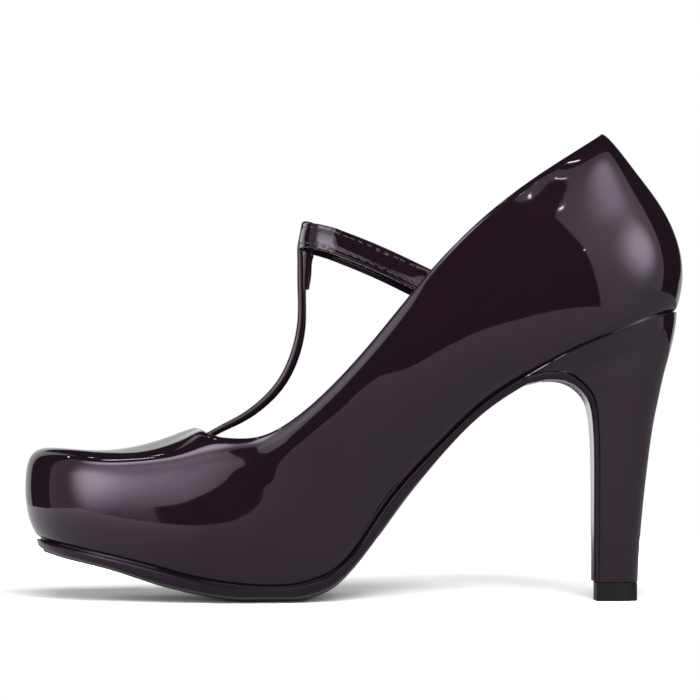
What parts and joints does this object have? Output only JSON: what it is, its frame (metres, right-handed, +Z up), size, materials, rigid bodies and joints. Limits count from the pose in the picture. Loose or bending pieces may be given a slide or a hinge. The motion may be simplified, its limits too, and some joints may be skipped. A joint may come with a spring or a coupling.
{
  "type": "high-heeled t-strap platform pump",
  "caption": "High-heeled T-strap pump for the right foot, in dark aubergine patent leather, with a covered heel, a hidden platform, a thin outsole and an instep strap through a loop.",
  "frame": {"origin": "on the floor, under the middle of the shoe's bounding box", "axes": "toe along -X, heel along +X, inner side of the foot at -Y, +Z up"},
  "size_m": [0.2213, 0.0791, 0.158],
  "materials": {
    "upper": "glossy patent leather, very dark aubergine",
    "insole": "plain dark sock over an insole board",
    "platform": "plain foam or cork board, hidden by the upper",
    "outsole": "thin smooth black sole with a polished edge",
    "heel": "block covered in the same patent leather",
    "top_lift": "satin black rubber",
    "t_stem": "glossy patent leather",
    "instep_strap": "glossy patent leather, stitched along both edges"
  },
  "bodies": {
    "root": {"upper": "upper", "insole": "insole", "platform": "platform", "outsole": "outsole", "heel": "heel", "top_lift": "top_lift", "t_stem": "t_stem", "instep_strap": "instep_strap"}
  },
  "joints": []
}
